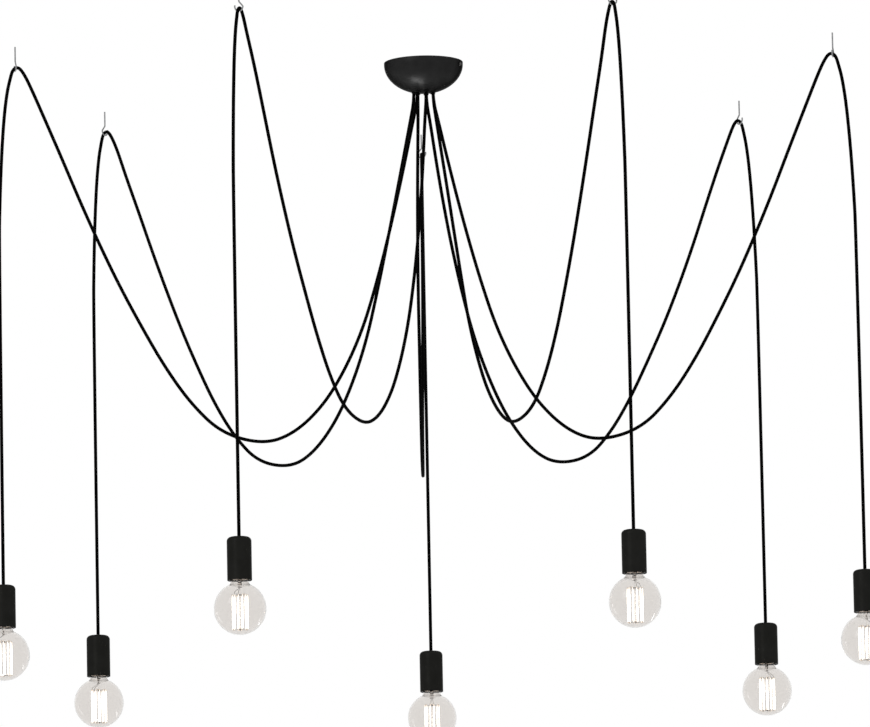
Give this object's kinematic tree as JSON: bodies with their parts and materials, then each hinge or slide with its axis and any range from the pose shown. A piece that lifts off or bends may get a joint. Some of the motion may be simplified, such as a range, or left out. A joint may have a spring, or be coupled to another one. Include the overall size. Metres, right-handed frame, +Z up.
{
  "type": "spider pendant light",
  "caption": "Ceiling rose whose cords loop to ceiling hooks and hang down, each ending in a plain cylinder lampholder with a clear globe bulb.",
  "frame": {"origin": "middle of the ceiling bracket, on the ceiling plane", "axes": "+Z up into the ceiling, +Y towards the first hook, the other hooks follow clockwise seen from above"},
  "size_m": [1.6942, 1.6542, 1.1968],
  "materials": {
    "rose_black": "satin black powder coat",
    "holder_black": "matte black paint",
    "bracket_zinc": "zinc plated",
    "hook_zinc": "zinc plated wire",
    "screw_nickel": "nickel plated",
    "grip_nylon": "moulded nylon",
    "terminal_plastic": "moulded",
    "brass": "plain",
    "live_brown": "extruded",
    "neutral_blue": "extruded",
    "cord_black": "matte extruded sheath",
    "insert_black": "moulded",
    "cap_metal": "rolled thread",
    "clear_glass": "clear",
    "filament": "glowing wire on a glass stem"
  },
  "bodies": {
    "root": {"ceiling_bracket": "bracket_zinc", "rose_cover": "rose_black", "rose_screws": "screw_nickel", "cord_grips": "grip_nylon", "grip_nuts": "grip_nylon", "terminal_body": "terminal_plastic", "terminal_bars": "brass", "terminal_screws": "brass", "live_cores": "live_brown", "neutral_cores": "neutral_blue", "ceiling_hooks": "hook_zinc", "cord_loop_1": "cord_black", "cord_loop_2": "cord_black", "cord_loop_3": "cord_black", "cord_loop_4": "cord_black", "cord_loop_5": "cord_black", "cord_loop_6": "cord_black", "cord_loop_7": "cord_black"},
    "pendant_1": {"cord_drop_1": "cord_black", "holder_cover_1": "holder_black", "lampholder_1": "insert_black"},
    "bulb_1": {"bulb_cap_1": "cap_metal"},
    "globe_1": {"bulb_glass_1": "clear_glass", "bulb_mount_1": "filament"},
    "pendant_2": {"cord_drop_2": "cord_black", "holder_cover_2": "holder_black", "lampholder_2": "insert_black"},
    "bulb_2": {"bulb_cap_2": "cap_metal"},
    "globe_2": {"bulb_glass_2": "clear_glass", "bulb_mount_2": "filament"},
    "pendant_3": {"cord_drop_3": "cord_black", "holder_cover_3": "holder_black", "lampholder_3": "insert_black"},
    "bulb_3": {"bulb_cap_3": "cap_metal"},
    "globe_3": {"bulb_glass_3": "clear_glass", "bulb_mount_3": "filament"},
    "pendant_4": {"cord_drop_4": "cord_black", "holder_cover_4": "holder_black", "lampholder_4": "insert_black"},
    "bulb_4": {"bulb_cap_4": "cap_metal"},
    "globe_4": {"bulb_glass_4": "clear_glass", "bulb_mount_4": "filament"},
    "pendant_5": {"cord_drop_5": "cord_black", "holder_cover_5": "holder_black", "lampholder_5": "insert_black"},
    "bulb_5": {"bulb_cap_5": "cap_metal"},
    "globe_5": {"bulb_glass_5": "clear_glass", "bulb_mount_5": "filament"},
    "pendant_6": {"cord_drop_6": "cord_black", "holder_cover_6": "holder_black", "lampholder_6": "insert_black"},
    "bulb_6": {"bulb_cap_6": "cap_metal"},
    "globe_6": {"bulb_glass_6": "clear_glass", "bulb_mount_6": "filament"},
    "pendant_7": {"cord_drop_7": "cord_black", "holder_cover_7": "holder_black", "lampholder_7": "insert_black"},
    "bulb_7": {"bulb_cap_7": "cap_metal"},
    "globe_7": {"bulb_glass_7": "clear_glass", "bulb_mount_7": "filament"}
  },
  "joints": [
    {"name": "swing_1", "type": "hinge", "parent": "root", "child": "pendant_1", "pos_m": [0, 0.7924, -0.0415], "axis": [0, 1, 0], "range_deg": [-12, 12]},
    {"name": "bulb_travel_1", "type": "slide", "parent": "pendant_1", "child": "bulb_1", "axis": [0, 0, -1], "range_m": [0, 0.01771]},
    {"name": "bulb_turn_1", "type": "hinge", "parent": "bulb_1", "child": "globe_1", "pos_m": [0, 0.8202, -1.0088], "axis": [0, 0, -1], "range_deg": [0, 1800]},
    {"name": "swing_2", "type": "hinge", "parent": "root", "child": "pendant_2", "pos_m": [0.61952, 0.49405, -0.0415], "axis": [0.7818, 0.6235, 0], "range_deg": [-12, 12]},
    {"name": "bulb_travel_2", "type": "slide", "parent": "pendant_2", "child": "bulb_2", "axis": [0, 0, -1], "range_m": [0, 0.01771]},
    {"name": "bulb_turn_2", "type": "hinge", "parent": "bulb_2", "child": "globe_2", "pos_m": [0.64126, 0.51139, -1.0088], "axis": [0, 0, -1], "range_deg": [0, 1800]},
    {"name": "swing_3", "type": "hinge", "parent": "root", "child": "pendant_3", "pos_m": [0.77253, -0.17633, -0.0415], "axis": [0.9749, -0.2225, 0], "range_deg": [-12, 12]},
    {"name": "bulb_travel_3", "type": "slide", "parent": "pendant_3", "child": "bulb_3", "axis": [0, 0, -1], "range_m": [0, 0.01771]},
    {"name": "bulb_turn_3", "type": "hinge", "parent": "bulb_3", "child": "globe_3", "pos_m": [0.79964, -0.18251, -1.0088], "axis": [0, 0, -1], "range_deg": [0, 1800]},
    {"name": "swing_4", "type": "hinge", "parent": "root", "child": "pendant_4", "pos_m": [0.34381, -0.71393, -0.0415], "axis": [0.4339, -0.901, 0], "range_deg": [-12, 12]},
    {"name": "bulb_travel_4", "type": "slide", "parent": "pendant_4", "child": "bulb_4", "axis": [0, 0, -1], "range_m": [0, 0.01771]},
    {"name": "bulb_turn_4", "type": "hinge", "parent": "bulb_4", "child": "globe_4", "pos_m": [0.35587, -0.73897, -1.0088], "axis": [0, 0, -1], "range_deg": [0, 1800]},
    {"name": "swing_5", "type": "hinge", "parent": "root", "child": "pendant_5", "pos_m": [-0.34381, -0.71393, -0.0415], "axis": [-0.4339, -0.901, 0], "range_deg": [-12, 12]},
    {"name": "bulb_travel_5", "type": "slide", "parent": "pendant_5", "child": "bulb_5", "axis": [0, 0, -1], "range_m": [0, 0.01771]},
    {"name": "bulb_turn_5", "type": "hinge", "parent": "bulb_5", "child": "globe_5", "pos_m": [-0.35587, -0.73897, -1.0088], "axis": [0, 0, -1], "range_deg": [0, 1800]},
    {"name": "swing_6", "type": "hinge", "parent": "root", "child": "pendant_6", "pos_m": [-0.77253, -0.17633, -0.0415], "axis": [-0.9749, -0.2225, 0], "range_deg": [-12, 12]},
    {"name": "bulb_travel_6", "type": "slide", "parent": "pendant_6", "child": "bulb_6", "axis": [0, 0, -1], "range_m": [0, 0.01771]},
    {"name": "bulb_turn_6", "type": "hinge", "parent": "bulb_6", "child": "globe_6", "pos_m": [-0.79964, -0.18251, -1.0088], "axis": [0, 0, -1], "range_deg": [0, 1800]},
    {"name": "swing_7", "type": "hinge", "parent": "root", "child": "pendant_7", "pos_m": [-0.61952, 0.49405, -0.0415], "axis": [-0.7818, 0.6235, 0], "range_deg": [-12, 12]},
    {"name": "bulb_travel_7", "type": "slide", "parent": "pendant_7", "child": "bulb_7", "axis": [0, 0, -1], "range_m": [0, 0.01771]},
    {"name": "bulb_turn_7", "type": "hinge", "parent": "bulb_7", "child": "globe_7", "pos_m": [-0.64126, 0.51139, -1.0088], "axis": [0, 0, -1], "range_deg": [0, 1800]}
  ],
  "couplings": [
    {"joint": "bulb_travel_1", "follows": "bulb_turn_1", "m_per_rad": 0.0005634},
    {"joint": "bulb_travel_2", "follows": "bulb_turn_2", "m_per_rad": 0.0005634},
    {"joint": "bulb_travel_3", "follows": "bulb_turn_3", "m_per_rad": 0.0005634},
    {"joint": "bulb_travel_4", "follows": "bulb_turn_4", "m_per_rad": 0.0005634},
    {"joint": "bulb_travel_5", "follows": "bulb_turn_5", "m_per_rad": 0.0005634},
    {"joint": "bulb_travel_6", "follows": "bulb_turn_6", "m_per_rad": 0.0005634},
    {"joint": "bulb_travel_7", "follows": "bulb_turn_7", "m_per_rad": 0.0005634}
  ]
}
